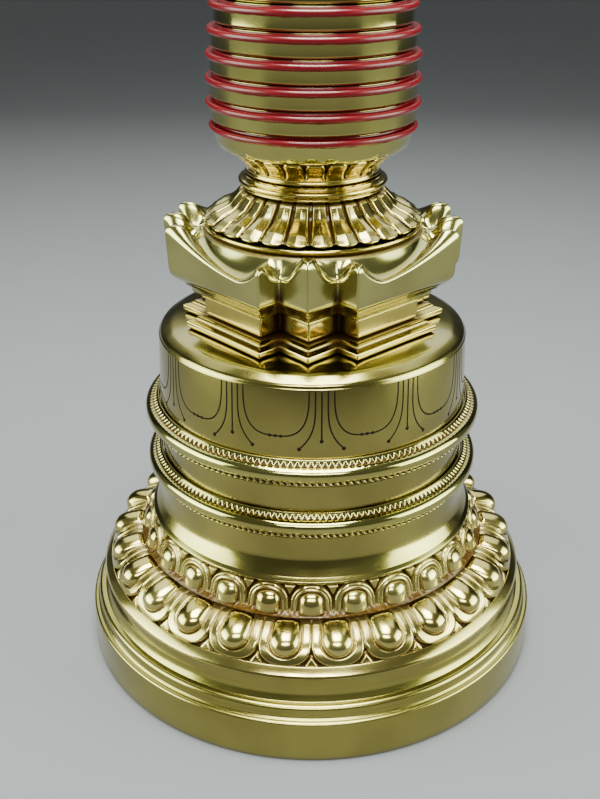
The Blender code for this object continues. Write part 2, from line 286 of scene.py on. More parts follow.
def brass_look(name, colour, tone, roughness, haze, grime_and_shade=True, turned=0.0):
    """Lacquered brass: it drifts from a tone to its colour in slow clouds.

    If asked, the piece's hollows are painted dark brown, as grime and as painted shade.
    turned adds fine lathe lines round the axis; haze is how much the roughness drifts.
    """
    look, shader, add, place = new_look(name)
    clouds = add("ShaderNodeTexNoise", {"Vector": place, "Scale": 46.0, "Detail": 3.0})
    specks = add("ShaderNodeTexNoise", {"Vector": place, "Scale": 900.0, "Detail": 2.0})
    drift = add("ShaderNodeValToRGB", {"Fac": clouds.outputs["Fac"]})
    for stop, at, shade in zip(drift.color_ramp.elements, (0.36, 0.66), (tone, colour)):
        stop.position = at
        stop.color = (*shade, 1.0)
    base = drift.outputs["Color"]
    rough = add("ShaderNodeMapRange", {"Value": clouds.outputs["Fac"], "From Min": 0.3,
                                       "From Max": 0.7, "To Min": roughness,
                                       "To Max": roughness + haze}).outputs["Result"]
    # The per-point darkening pulls the colour towards dark brown: grime, and painted shade in
    # hollows.
    if grime_and_shade:
        dark = add("ShaderNodeAttribute", attribute_name="grime_and_shade").outputs["Fac"]
        blotch = add("ShaderNodeMath", {0: specks.outputs["Fac"], 1: 0.30},
                     operation="MULTIPLY").outputs[0]
        soft = add("ShaderNodeMath", {0: dark, 1: blotch}, operation="ADD").outputs[0]
        depth = add("ShaderNodeMapRange", {"Value": soft, "From Min": 0.26,
                                           "From Max": 1.02}).outputs["Result"]
        base = mix_colour(add, depth, base, GRIME_AND_SHADE)
        rough = add("ShaderNodeMapRange", {"Value": depth, "To Min": rough,
                                           "To Max": 0.62}).outputs["Result"]
    grain = specks.outputs["Fac"]
    if turned:
        split = add("ShaderNodeSeparateXYZ", {"Vector": place}).outputs["Z"]
        rings = add("ShaderNodeCombineXYZ", {"Z": split})
        lines = add("ShaderNodeTexNoise", {"Vector": rings.outputs["Vector"],
                                           "Scale": 3200.0, "Detail": 2.0})
        grain = lines.outputs["Fac"]
    bump = add("ShaderNodeBump", {"Height": grain, "Strength": 0.05 + turned,
                                  "Distance": 0.00005})
    set_inputs(shader, {"Base Color": base, "Roughness": rough, "Metallic": 1.0,
                        "Normal": bump.outputs["Normal"], "Coat Weight": 0.35,
                        "Coat Roughness": 0.06})
    return look


polished = brass_look("polished_brass", (0.39, 0.35, 0.10), (0.33, 0.28, 0.070), 0.06, 0.07)
hand_rubbed = brass_look("hand_rubbed_brass", (0.37, 0.335, 0.11), (0.31, 0.27, 0.078), 0.13,
                         0.09)
satin = brass_look("satin_brass", (0.30, 0.255, 0.058), (0.24, 0.20, 0.040), 0.18, 0.09,
                   grime_and_shade=False, turned=0.10)
wall = brass_look("wall_brass", (0.31, 0.26, 0.065), (0.24, 0.195, 0.045), 0.12, 0.10,
                  grime_and_shade=False, turned=0.05)
carved = brass_look("carved_brass", (0.48, 0.405, 0.125), (0.41, 0.315, 0.082), 0.12, 0.10)
golden = brass_look("golden_brass", (0.46, 0.35, 0.075), (0.37, 0.26, 0.04), 0.11, 0.10)


def plain_look(name, colour, roughness, metallic=0.0, scale=300.0, depth=0.08, dark=0.55,
               shine=0.5):
    """A finish other than brass: a mottle that darkens its colour, and a fine grain."""
    look, shader, add, place = new_look(name)
    mottle = add("ShaderNodeTexNoise", {"Vector": place, "Scale": scale, "Detail": 3.0})
    darker = tuple(dark * c for c in colour)
    base = mix_colour(add, mottle.outputs["Fac"], (*darker, 1.0), (*colour, 1.0))
    bump = add("ShaderNodeBump", {"Height": mottle.outputs["Fac"], "Strength": depth,
                                  "Distance": 0.0002})
    set_inputs(shader, {"Base Color": base, "Normal": bump.outputs["Normal"],
                        "Roughness": roughness, "Metallic": metallic,
                        "Specular IOR Level": shine})
    return look


crimson = plain_look("crimson_lacquer", (0.125, 0.001, 0.005), 0.26, scale=120.0,
                     shine=0.35)
black_fill = plain_look("engraving_fill", (0.006, 0.004, 0.002), 0.85, shine=0.08)
copper = plain_look("copper_sheet", (0.62, 0.27, 0.14), 0.38, metallic=1.0, scale=60.0)
pole_wood = plain_look("turned_wood", (0.36, 0.22, 0.12), 0.7, scale=90.0)
scroll_paper = plain_look("scroll_paper", (0.80, 0.72, 0.55), 0.9, scale=200.0)


# ---- foot ----

def make_foot():
    """The foot: band, crease, cove, round step, and a hollow wall under the lotus rim."""
    top = high("foot_plinth")
    rim = widest("foot_plinth")
    turned_piece("foot_casting", [
        (rim - 0.5, 0.0, 0.4), (rim, 1.6, 1.0), (rim - 0.4, 13.7, 1.5), (73.2, 13.9, 0.3),
        (72.7, 14.4, 0.4), (72.4, 15.6, 0.3), (72.9, 15.7, 0.2), (72.6, 18.0, 1.9),
        (70.3, 18.2, 0.3), (69.0, 20.6, 7.0), (69.3, top, 0.3), (60.0, top, 0.3),
        (60.0, top - 3.0, 0.5), (66.8, top - 3.2, 3.0), (68.4, 8.0, 3.0), (64.0, 5.0, 0.5),
        (64.0, 2.6, 0.2), (67.2, 2.6, 0.3), (67.2, 0.0, 0.5),
    ], satin, BASE, ["foot_plinth"], columns=320)


def make_cover_plate():
    """The copper plate, with two turned rings and a crimped edge of small hammer marks."""
    turned_solid("cover_plate", [
        (30.0, 0.95, 0.3), (30.4, 1.2, 0.2), (31.0, 0.95, 0.3), (58.0, 0.95, 0.3),
        (58.4, 1.2, 0.2), (59.0, 0.95, 0.3), (66.4, 0.9, 0.3), (66.9, 1.5, 0.3),
        (66.4, 2.3, 0.3),
    ], copper, BASE, ["base_cover_plate"])


# ---- lotus rings ----

PETALS = 26
PETAL_TURN = math.radians(7.2) + 0.5 * math.pi


def petal_depth(across, along, half, end, swell, blunt=2.0):
    """How far inside a round-ended petal a point is: half its width at the middle line.

    The petal is a strip of the given half width whose outer end, at along = end, is half
    a superellipse of power blunt; swell pinches the strip a little as it runs in.
    """
    reach = half * (2.0 / blunt) ** 0.7
    short = np.maximum(0.0, end + reach - along) * half / reach
    waist = 1.0 + swell * np.maximum(0.0, along - end - reach)
    return half - (np.abs(across * waist) ** blunt + short ** blunt) ** (1.0 / blunt)


def large_petal_relief(across, along, pitch, length):
    """Height and darkening (grime and painted shade) of the large petals over their bed, at
    (across, along) in mm.

    A raised border with a round outer end holds a swelling boss; a fine groove parts them,
    deep clefts part the petals, and a leaf tip fills the gap at the rim.
    """
    border = petal_depth(across, along, 0.497 * pitch, 0.0, 0.0, 2.5)
    half = 0.305 * pitch
    boss = petal_depth(across, along, half, 2.6, 0.012)
    height = -1.3 + 1.9 * smooth_step(-0.08, 0.34, border) ** 0.7
    height -= np.exp(-((boss + 0.18) / 0.20) ** 2)
    fall = 1.0 - 0.42 * smooth_step(0.30 * length, length, along)
    height = np.where(boss > 0.0, 0.25 + 3.3 * round_over(boss, half) * fall, height)
    gap = 0.5 * pitch - np.abs(across)
    tip = smooth_step(0.0, 0.45, 2.2 - 0.60 * along - gap) * (along > 0.15)
    height = np.where(border < 0.0, np.maximum(height, -1.3 + 1.4 * tip), height)
    grime_and_shade = 1.0 - smooth_step(0.0, 0.32, border)
    grime_and_shade = np.where(border < 0.0, 1.0 - 0.95 * tip, grime_and_shade)
    grime_and_shade = np.maximum(grime_and_shade, 1.1 * np.exp(-((boss + 0.16) / 0.26) ** 2))
    # Painted shade and grime off the bosses, darker towards the petals' inner ends by the
    # valley.
    valley_grime_shade = 0.42 * smooth_step(0.25 * length, 0.9 * length, along) * (boss < -0.1)
    grime_and_shade = np.maximum(grime_and_shade, valley_grime_shade)
    height = height * (1.0 - 0.45 * smooth_step(0.9 * length, length, along))
    return height, grime_and_shade


def petal_across(angle, pitch, shift=0.0):
    """Distance of each angle from the middle line of its nearest petal, in millimetres."""
    return off_centre((angle - PETAL_TURN) * PETALS / TAU + shift) * pitch


def make_large_lotus():
    """The spreading lotus: rim, petals and valley carried round on one grid.

    The petals' bed is mostly a quarter of an ellipse, and partly the straight line
    between its ends.
    """
    columns = PETALS * 42
    angle = round_angles(columns)
    foot, top = low("large_lotus_ring"), high("large_lotus_ring")
    t = np.linspace(0.0, 1.0, 58)
    quarter, bow = 0.5 * math.pi * t, 0.72
    bed = np.stack([56.9 + 10.3 * (bow * np.cos(quarter) + (1.0 - bow) * (1.0 - t)),
                    foot + 2.5 + 7.8 * (bow * np.sin(quarter) + (1.0 - bow) * t)], 1)
    along = run_length(bed)
    out_r, out_z = outward(bed)
    pitch = TAU * 65.5 / PETALS
    height, grime_and_shade = large_petal_relief(petal_across(angle, pitch)[None, :], along[:, None],
                                       pitch, along[-1])
    rim = rounded([(69.6, foot, 0.1), (70.0, foot + 0.2, 0.15), (69.6, foot + 1.1, 0.8),
                   (67.4, foot + 3.1, 0.4), (67.1, foot + 2.2, 0.2)], 5)
    inner = np.array([(56.3, top - 0.9), (55.9, top), (47.0, top), (47.0, foot + 7.9),
                      (52.5, foot + 7.9), (58.0, foot + 5.3), (60.5, foot), (66.0, foot)])
    radius = join_rows(columns, rim[:, :1], bed[:, :1] + height * out_r, inner[:, :1])
    level = join_rows(columns, rim[:, 1:], bed[:, 1:] + height * out_z, inner[:, 1:])
    # The inner wall under the small lotus is painted dark: grime and painted shade.
    grime_and_shade = join_rows(columns, np.zeros((len(rim), 1)), grime_and_shade, np.full((len(inner), 1), 0.85))
    put_ring("large_lotus", radius, level, angle, carved, BASE,
             ["large_lotus_ring"], grime_and_shade)


def small_petal_relief(across, up, pitch, tall):
    """Height and darkening (grime and painted shade) of the small upright petals, at (across,
    up) in millimetres.

    up falls from the round top to the cut-off foot. A double-lined arch frames a boss.
    """
    arch = petal_depth(across, up, 0.492 * pitch, -0.7, -0.01, 2.2)
    half = 0.275 * pitch
    boss = petal_depth(across, up, half, 1.75, -0.01, 2.4)
    height = -1.5 + 2.1 * smooth_step(-0.1, 0.5, arch)
    height -= 0.55 * np.exp(-((arch - 1.05) / 0.22) ** 2)
    height -= 0.9 * np.exp(-((boss + 0.25) / 0.26) ** 2)
    height = np.where(boss > 0.0, 0.1 + 2.3 * round_over(boss, half), height)
    gap = 0.5 * pitch - np.abs(across)
    spear = smooth_step(0.0, 0.4, 1.8 - 0.55 * up - gap)
    height = np.where(arch < 0.0, np.maximum(height, -1.5 + 1.7 * spear), height)
    grime_and_shade = np.where(arch < 0.0, 1.0 - 0.7 * spear, 1.0 - smooth_step(0.0, 0.5, arch))
    grime_and_shade = np.maximum(grime_and_shade, 0.9 * np.exp(-((arch - 1.05) / 0.25) ** 2))
    grime_and_shade = np.maximum(grime_and_shade, 1.1 * np.exp(-((boss + 0.16) / 0.26) ** 2))
    # Painted shade and grime towards the petals' foot by the valley.
    grime_and_shade = np.maximum(grime_and_shade, 0.5 * smooth_step(0.88 * tall, tall, up))
    return height, grime_and_shade


def make_small_lotus():
    """The upright lotus under the bell: a leaning band of petals over a plain valley."""
    columns, tall = PETALS * 40, 7.2
    angle = round_angles(columns)
    foot_z, top = low("small_lotus_ring"), high("small_lotus_ring")
    up = np.linspace(0.0, tall, 46)[:, None]
    pitch = TAU * 54.0 / PETALS
    height, grime_and_shade = small_petal_relief(petal_across(angle, pitch, 0.5)[None, :], up, pitch,
                                       tall)
    foot = np.array([(49.0, foot_z), (56.9, foot_z), (56.8, foot_z + 0.4),
                     (54.8, foot_z + 0.8)])
    head = np.array([(51.5, top), (49.0, top)])
    radius = (52.4 + 1.9 * up / tall + height)[::-1]
    radius = join_rows(columns, foot[:, :1], radius, head[:, :1])
    level = join_rows(columns, foot[:, 1:], (top - 0.2 - up)[::-1], head[:, 1:])
    # Foot and head rows painted dark: grime and painted shade.
    grime_and_shade = join_rows(columns, np.full((4, 1), 0.85), grime_and_shade[::-1], np.full((2, 1), 0.9))
    put_ring("small_lotus", radius, level, angle, carved, BASE,
             ["small_lotus_ring"], grime_and_shade)


# ---- bell dome ----

SHOULDER = 106.9


def dome_section():
    """The dome's outline: lip, flare, straight wall, shoulder line and nearly flat top."""
    foot, top, wall_r = low("bell_dome"), high("bell_dome"), 48.0
    return [
        (52.2, foot, 0.4), (52.7, foot + 0.9, 0.5), (51.4, foot + 1.9, 1.0),
        (49.0, foot + 5.5, 9.0), (wall_r, 60.0, 14.0), (wall_r + 0.1, 86.0, 40.0),
        (47.4, SHOULDER, 0.0), (47.35, SHOULDER + 0.2, 0.0), (47.1, SHOULDER + 0.3, 0.0),
        (47.15, SHOULDER + 0.6, 0.0),
        (46.5, 108.4, 2.0), (43.4, 110.1, 6.0), (38.6, 110.9, 10.0), (34.0, top, 14.0),
        (6.4, top, 0.2), (6.4, top - 2.8, 0.2), (38.5, top - 2.8, 3.0), (44.6, 105.0, 4.0),
        (45.0, 60.0, 6.0), (47.4, foot, 0.4),
    ]


def wall_radius(height):
    """Outer radius of the dome's wall at a height, read off its outline."""
    line = rounded(dome_section(), 7)
    outside = line[(line[:, 0] > 45.5) & (line[:, 1] < SHOULDER + 0.1) & (line[:, 1] > 50.0)]
    order = np.argsort(outside[:, 1])
    return np.interp(height, outside[order, 1], outside[order, 0])


def engraved_line(angle, height, width=0.23):
    """A filled line cut along (angle, height): a flat strip let into the wall.

    Each point of the path carries a section of four corners, half a width to each side,
    just under and just over the wall; both ends are closed.
    """
    radius = wall_radius(height)
    run = np.stack([np.gradient(angle) * radius, np.gradient(height)], 1)
    run /= np.linalg.norm(run, axis=1, keepdims=True) + 1e-9
    side = np.stack([-run[:, 1], run[:, 0]], 1) * width
    corners = []
    for sign, lift in ((1, -0.12), (1, 0.012), (-1, 0.012), (-1, -0.12)):
        a = angle + sign * side[:, 0] / radius
        corners.append(turn_points(radius + lift, height + sign * side[:, 1], a))
    points = np.stack(corners, 1).reshape(-1, 3)
    sides = net(len(angle), 4, wrap_rows=False)[:, ::-1]
    ends = np.array([[0, 1, 2, 3], [3, 2, 1, 0]])
    ends[1] += len(points) - 4
    return points, np.vstack([sides, ends])


def engraved_dot(angle, height, size=0.62):
    """A punched dot: a low eight-sided button let into the wall."""
    turn = round_angles(8)
    radius = wall_radius(np.array([height]))[0]
    a = angle + size * np.cos(turn) / radius
    h = height + size * np.sin(turn)
    outer = turn_points(wall_radius(h) + 0.015, h, a)
    inner = turn_points(wall_radius(h) - 0.12, h, a)
    k = np.arange(8)
    sides = np.stack([k + 8, (k + 1) % 8 + 8, (k + 1) % 8, k], 1)
    caps = np.array([[0, 1, 2, 3], [0, 3, 4, 7], [4, 5, 6, 7],
                     [11, 10, 9, 8], [15, 12, 11, 8], [15, 14, 13, 12]])
    return np.vstack([outer, inner]), np.vstack([sides, caps])


def make_engraving():
    """The garland: twelve groups of three lines that end in dots, joined by swags.

    In each group the middle line drops straight and the other two flare out as a power of
    the drop. A swag is half a superellipse of power three, with three dots at its lowest
    place.
    """
    top = SHOULDER
    strokes = []
    centres = [math.radians(3.4 + 30.0 * k + 2.2 * math.sin(math.radians(30.0 * k)))
               for k in range(-6, 6)]
    centres.append(centres[0] + TAU)
    for centre, following in zip(centres[:-1], centres[1:]):
        drop = np.linspace(top, 91.9, 12)
        strokes.append(engraved_line(centre + 0.0 * drop, drop))
        strokes.append(engraved_dot(centre, 91.6))
        fall = np.linspace(top, 89.4, 26)
        spread = np.radians(2.1 + 5.2 * np.clip((104.0 - fall) / 14.7, 0.0, 1.0) ** 3.5)
        for sign in (-1.0, 1.0):
            strokes.append(engraved_line(centre + sign * spread, fall))
            strokes.append(engraved_dot(centre + sign * math.radians(7.5), 89.1))
        middle = 0.5 * (centre + following)
        reach = 0.5 * (following - centre) - math.radians(4.2)
        t = np.linspace(-0.5 * math.pi, 0.5 * math.pi, 64)
        swing = np.sign(np.sin(t)) * np.abs(np.sin(t)) ** (2.0 / 3.0)
        hang = top - 14.1 * np.abs(np.cos(t)) ** (2.0 / 3.0)
        strokes.append(engraved_line(middle + reach * swing, hang))
        for step in (-1.9, 0.0, 1.9):
            strokes.append(engraved_dot(middle + math.radians(step), 92.85, 0.52))
    points, faces, start = [], [], 0
    for stroke_points, stroke_faces in strokes:
        points.append(stroke_points)
        faces.append(stroke_faces + start)
        start += len(stroke_points)
    put_piece("dome_engraving", turn_about(np.vstack(points), -0.5 * math.pi),
              [np.vstack(faces)], black_fill, BASE)


def make_dome():
    """The bell dome in one smooth turned wall."""
    turned_piece("dome_casting", dome_section(), wall, BASE,
                 ["bell_dome"], columns=384, steps=8)


def make_beaded_ring(name, node, notches):
    """A fat round moulding, a row of punched triangles above it and dashes beneath.

    Above, a notch is the part of the slope where the distance from its middle line is less
    than a share of the way down from its point; beneath, it is a slanting dash. The rows
    are close where the marks are, and six times as far apart elsewhere.
    """
    foot, top = low(node), high(node)
    angle = round_angles(notches * 8)
    line = rounded([(49.0, foot, 0.1), (50.4, foot + 0.05, 0.2), (51.0, foot + 0.9, 0.3),
                    (51.0, foot + 1.9, 0.1), (51.5, foot + 2.05, 0.2), (52.9, foot + 3.0, 1.9),
                    (52.9, foot + 5.7, 2.2), (50.8, foot + 6.6, 0.4), (50.3, foot + 6.5, 0.15),
                    (48.9, foot + 7.9, 0.7), (48.3, top, 0.1), (48.3, foot, 0.1)], 6)
    line = even(line, 0.13)
    line = np.roll(line, -int(np.argmin(line[:, 1] + 0.1 * (52.0 - line[:, 0]))), axis=0)
    marked = ((line[:, 0] > 48.8) & (line[:, 0] < 50.8) & (line[:, 1] > foot + 6.4)
              | (line[:, 0] > 50.2) & (line[:, 0] < 51.2) & (line[:, 1] < foot + 2.1))
    line = line[marked | (np.arange(len(line)) % 6 == 0)]
    r, z = line[:, :1], line[:, 1:]
    phase = angle * notches / TAU
    w = np.abs(off_centre(phase))[None, :]
    way = (foot + 7.45 - z) / 0.95
    upper = (r > 48.9) & (way > 0.0) & (z > foot + 6.42) & (r < 50.8)
    cut = np.where(upper, np.clip((0.36 * way - w) / 0.08, 0.0, 1.0), 0.0)
    lean = np.abs(off_centre(phase + 0.35 * z))
    under = (r > 50.3) & (z > foot + 0.75) & (z < foot + 1.85)
    cut = np.maximum(cut, np.where(under, np.clip((0.30 - lean) / 0.08, 0.0, 1.0), 0.0))
    # Punched marks and the inner top painted dark: grime and painted shade.
    grime_and_shade = 1.5 * cut + 0.6 * ((r < 48.9) & (z > foot + 7.9))
    put_ring(name, r - 0.5 * cut, z - 0.15 * cut, angle, polished, BASE,
             [node], grime_and_shade)


make_foot()
make_cover_plate()
make_large_lotus()
make_small_lotus()
make_dome()
make_engraving()
make_beaded_ring("lower_beads", "lower_beaded_ring", 180)
make_beaded_ring("upper_beads", "upper_beaded_ring", 164)


# ---- stepped block under the spire ----

BLOCK_TURN = math.radians(43.4)
CORNICE_PLAN = (39.4, 20.6, 31.8)
RIM_LOW, SCOOP_LOW, SEAT_RADIUS = 133.9, 133.3, 32.5
EDGE_SHARES = (np.linspace(0.0, 1.0, 66)[1:-1], np.linspace(0.0, 1.0, 16)[1:-1],
               np.linspace(0.0, 1.0, 20)[1:-1])


def stepped_line(plan, inset, fillet):
    """Points round a square with two steps cut from each corner, its corners eased.

    Each corner is a quadratic curve between points a fillet away along its two edges, and
    every plan and inset gives the same number of points in the same order.
    """
    face, bay, step = (size - inset for size in plan)
    quarter = np.array([(face, -bay), (face, bay), (step, bay), (step, step), (bay, step)])
    corners = np.vstack([turn_about(quarter, 0.5 * math.pi * k) for k in range(4)])
    ahead = np.roll(corners, -1, axis=0) - corners
    ahead /= np.linalg.norm(ahead, axis=1, keepdims=True)
    behind = -np.roll(ahead, 1, axis=0)
    t = np.linspace(0.0, 1.0, 5)[:, None]
    pieces = []
    kinds = (0, 1, 2, 2, 1) * 4
    for i, corner in enumerate(corners):
        enter, leave = corner + fillet * behind[i], corner + fillet * ahead[i]
        pieces.append((1 - t) ** 2 * enter + 2 * t * (1 - t) * corner + t ** 2 * leave)
        following = corners[(i + 1) % 20] - fillet * ahead[i]
        share = EDGE_SHARES[kinds[i]][:, None]
        pieces.append(leave + (following - leave) * share)
    return np.vstack(pieces)


def plan_place(line):
    """The larger and the smaller of each point's two distances from the block's middle."""
    size = np.sort(np.abs(line), axis=1)
    return size[:, 1], size[:, 0]


def rim_heights():
    """Height of the cornice's rim at each point of its outline, in millimetres.

    Along a long face it is lowest near the front or back corner, climbs to that corner as
    a square, and to the side corner as a lower power. Round the sides of a horn, and up to
    the small horn between two faces, it falls as a smooth step.
    """
    face, bay, step = CORNICE_PLAN
    line = stepped_line(CORNICE_PLAN, 0.0, 0.01)
    far, near = plan_place(line)
    across = np.abs(line[:, 0] * math.cos(BLOCK_TURN) - line[:, 1] * math.sin(BLOCK_TURN))
    deep = np.abs(line[:, 0] * math.sin(BLOCK_TURN) + line[:, 1] * math.cos(BLOCK_TURN))
    s = (across - deep) / (math.sqrt(2.0) * bay)
    along = (6.3 * np.clip(-2.0 * s - 1.0, 0.0, 1.0) ** 2
             + 8.6 * np.clip((s + 0.6) / 1.6, 0.0, 1.0) ** 1.7)
    side = 0.12 + 0.88 * (1.0 - smooth_step(0.6, 7.4, face - far))
    small = 8.3 * (0.12 + 0.88 * (1.0 - smooth_step(0.8, 9.0, step - near)))
    return RIM_LOW + np.where(near > bay + 0.03, small, along * side)


def inner_corner(reach):
    """1 in the re-entrant corners of the outline, falling off over a reach."""
    bay, step = CORNICE_PLAN[1:]
    far, near = plan_place(stepped_line(CORNICE_PLAN, 0.0, 0.01))
    return np.exp(-(np.hypot(far - step, near - bay) / reach) ** 2)


def block_piece(name, rows, grime_and_shade_rows, look, node):
    """A stepped piece from rows of points (x, y, z) that go up its outside.

    A row's darkening (grime and painted shade) is one value, or one for each of its points.
    """
    points = np.stack(rows)
    grime_and_shade_rows = np.stack([np.broadcast_to(grime_and_shade, points.shape[1]) for grime_and_shade in grime_and_shade_rows])
    put_piece(name, turn_about(points, BLOCK_TURN), [net(*points.shape[:2])], look, BASE,
              [node], np.clip(grime_and_shade_rows, 0.0, 1.3))


def level_row(plan, inset, height, fillet=0.45):
    """One row of a stepped piece: its outline at an inset, at a height or heights."""
    line = stepped_line(plan, inset, fillet)
    return np.column_stack([line, np.broadcast_to(height, len(line))])


def make_plain_block(name, plan, section, node, corner_grime_shade):
    """A stepped moulding: (inset, height, darkening) levels, darker in its inner corners as
    grime and painted shade.
    """
    steps = []
    for (i0, z0, s0), (i1, z1, s1) in zip(section[:-1], section[1:]):
        count = max(1, int(math.hypot(i1 - i0, z1 - z0) / 0.6))
        share = np.arange(count) / count
        steps += [(i0 + (i1 - i0) * t, z0 + (z1 - z0) * t, s0 + (s1 - s0) * t) for t in share]
    steps.append(section[-1])
    rows = [level_row(plan, inset, height) for inset, height, _ in steps]
    corner = inner_corner(3.4)
    grime_and_shade_rows = [amount + corner_grime_shade * corner for _, _, amount in steps]
    block_piece(name, rows, grime_and_shade_rows, golden, node)


def make_cornice():
    """The cornice: a fascia, a face that leans out, horned rims, and a scooped top.

    The scoop climbs from the rim to the round seat as a power of the way in, and the
    horn's height above it fades as another power.
    """
    foot = low("harmika_cornice") + 0.2
    rim = rim_heights()
    lip = 0.50 + 0.19 * (rim - RIM_LOW)
    corner = inner_corner(1.6)
    rows, grime_and_shade_rows = [], []
    # Third figures: darkening in the fascia's grooves and under it, grime and painted shade;
    # more in the inner corners.
    lower = [(9.0, foot, 0.9), (5.5, foot, 0.7), (5.2, foot + 0.5, 0.3), (5.0, foot + 1.6, 0.1),
             (4.7, foot + 1.9, 0.9), (4.6, foot + 2.2, 0.9), (3.9, foot + 2.3, 0.2),
             (3.7, foot + 3.0, 0.2), (3.4, foot + 3.3, 0.8), (3.2, foot + 3.5, 0.8),
             (2.4, foot + 3.7, 0.1), (1.8, foot + 4.3, 0.0), (1.2, foot + 5.0, 0.0),
             (0.8, foot + 5.7, 0.0), (0.62, foot + 6.4, 0.0), (0.5, foot + 7.2, 0.0)]
    for inset, height, amount in lower:
        rows.append(level_row(CORNICE_PLAN, inset, height))
        grime_and_shade_rows.append(amount + 1.1 * corner)
    start = foot + 7.2
    for share in np.linspace(0.0, 1.0, 14)[1:]:
        rows.append(level_row(CORNICE_PLAN, 0.5 - 0.35 * share,
                              start + (rim - lip - start) * share))
        grime_and_shade_rows.append(corner * (1.0 - share))
    edge = level_row(CORNICE_PLAN, 0.15, 0.0)[:, :2]
    inward = level_row(CORNICE_PLAN, 1.15, 0.0)[:, :2] - edge
    for turn in np.linspace(0.0, 0.8 * math.pi, 9)[1:]:
        brink = edge + inward * (lip * (1.0 - math.cos(turn)))[:, None]
        height = rim - lip + lip * math.sin(turn)
        rows.append(np.column_stack([brink, height]))
        grime_and_shade_rows.append(0.0)
    angle = np.arctan2(brink[:, 1], brink[:, 0])
    seat = SEAT_RADIUS * np.stack([np.cos(angle), np.sin(angle)], 1)
    drop = height - SCOOP_LOW
    for way in np.linspace(0.0, 1.0, 26)[1:]:
        flat = brink + (seat - brink) * way
        height = SCOOP_LOW + 5.9 * way ** 1.7 + drop * (1.0 - way) ** 1.35
        rows.append(np.column_stack([flat, height]))
        # Darker where the scoop meets the seat under the salver: grime and painted shade.
        grime_and_shade_rows.append(0.75 * smooth_step(0.88, 1.0, way))
    for radius, height in ((28.0, 139.0), (12.0, 139.0), (12.0, foot)):
        rows.append(np.column_stack([radius / SEAT_RADIUS * seat, np.full(len(seat), height)]))
        grime_and_shade_rows.append(0.8)
    block_piece("cornice_casting", rows, grime_and_shade_rows, hand_rubbed,
                "harmika_cornice")


def make_harmika():
    """The plinth, the die and the cornice of the stepped block."""
    foot = low("harmika_plinth")
    # In these levels the third figure darkens the brass under the steps and at the joints: grime
    # and painted shade.
    make_plain_block("plinth_casting", (36.0, 16.7, 28.4), [
        (9.0, foot, 0.9), (0.35, foot, 0.8), (0.08, foot + 0.15, 0.2),
        (0.0, foot + 0.35, 0.1), (0.0, foot + 1.55, 0.1), (0.08, foot + 1.75, 0.0),
        (0.35, foot + 1.9, 0.0), (1.7, foot + 2.3, 0.1), (1.85, foot + 2.35, 1.0),
        (1.95, foot + 2.5, 0.6), (2.15, foot + 2.95, 0.1), (2.9, foot + 3.35, 0.1),
        (3.9, foot + 3.6, 0.9), (9.0, foot + 3.6, 0.9)], "harmika_plinth", 0.8)
    foot, top = low("harmika_die"), high("harmika_die")
    make_plain_block("die_casting", (31.8, 12.5, 24.3), [
        (8.0, foot, 0.9), (0.3, foot, 1.0), (0.05, foot + 0.5, 0.35), (0.0, foot + 1.4, 0.1),
        (0.0, top - 1.4, 0.1), (0.05, top - 0.5, 0.35), (0.3, top, 1.0),
        (8.0, top, 0.9)], "harmika_die", 1.0)
    make_cornice()
    foot, top = low("salver_disc"), high("salver_disc")
    turned_piece("salver_plate", [
        (20.0, foot, 0.1), (30.6, foot, 0.3), (31.6, foot + 0.6, 0.4), (32.3, foot + 1.4, 0.4),
        (31.9, top, 0.3), (20.0, top, 0.1)], golden, BASE,
        ["salver_disc"], columns=224)


# ---- skirt, neck and cup under the rings ----

def make_skirt():
    """Twenty-eight ribs that sweep down and out, each ridged, with rounded bevelled ends.

    A rib's cross-section is a low tent inside a rounded top; its end is cut back by a power
    of the distance from its middle, which scallops the edge.
    """
    foot, top = low("ribbed_skirt"), high("ribbed_skirt")
    ribs, per = 28, 30
    angle = round_angles(ribs * per)
    line = rounded([(31.6, foot, 0.3), (32.6, foot + 0.9, 0.3), (29.0, foot + 3.4, 5.0),
                    (24.7, foot + 5.3, 10.0), (22.2, foot + 8.0, 4.0), (21.0, top, 0.1)], 12)
    line = even(line, 0.28, closed=False)
    line = line[np.argmax(line[:, 1] >= foot):]
    way = run_length(line)
    way = (way / way[-1])[:, None]
    w = 2.0 * np.abs(off_centre(angle * ribs / TAU + 0.62))[None, :]
    gap = 0.035 + 0.155 * smooth_step(0.2, 0.95, way)
    inside = np.clip(w / (1.0 - gap), 0.0, 1.0)
    crown = 1.0 - 0.38 * inside - 0.62 * inside ** 14
    depth = 0.75 + 0.75 * smooth_step(0.06, 0.25, way)
    cut = w > (1.0 - gap)
    out = -1.55 * (1.0 - crown) * depth / 1.5 - np.where(cut, 0.55, 0.0)
    out_r, out_z = outward(line)
    pull = 1.5 * inside ** 4.0 * (1.0 - smooth_step(0.05, 0.22, way))
    radius = line[:, :1] + out * out_r - pull
    level = np.maximum(line[:, 1:] + out * out_z + 0.35 * pull, foot)
    # Gaps between ribs, rib edges and the top under the neck painted dark: grime and painted
    # shade.
    grime_and_shade = np.where(cut, 1.25, 0.0) + 0.8 * smooth_step(0.95, 1.0, inside) * (way > 0.02)
    grime_and_shade = grime_and_shade + 0.5 * smooth_step(0.96, 1.0, way)
    inner = np.array([(19.0, top), (19.0, foot + 2.0), (27.0, foot)])
    put_ring("skirt_casting", join_rows(ribs * per, radius, inner[:, :1]),
             join_rows(ribs * per, level, inner[:, 1:]), angle, carved, SPIRE,
             ["ribbed_skirt"],
             join_rows(ribs * per, grime_and_shade, np.full((3, 1), 0.9)))


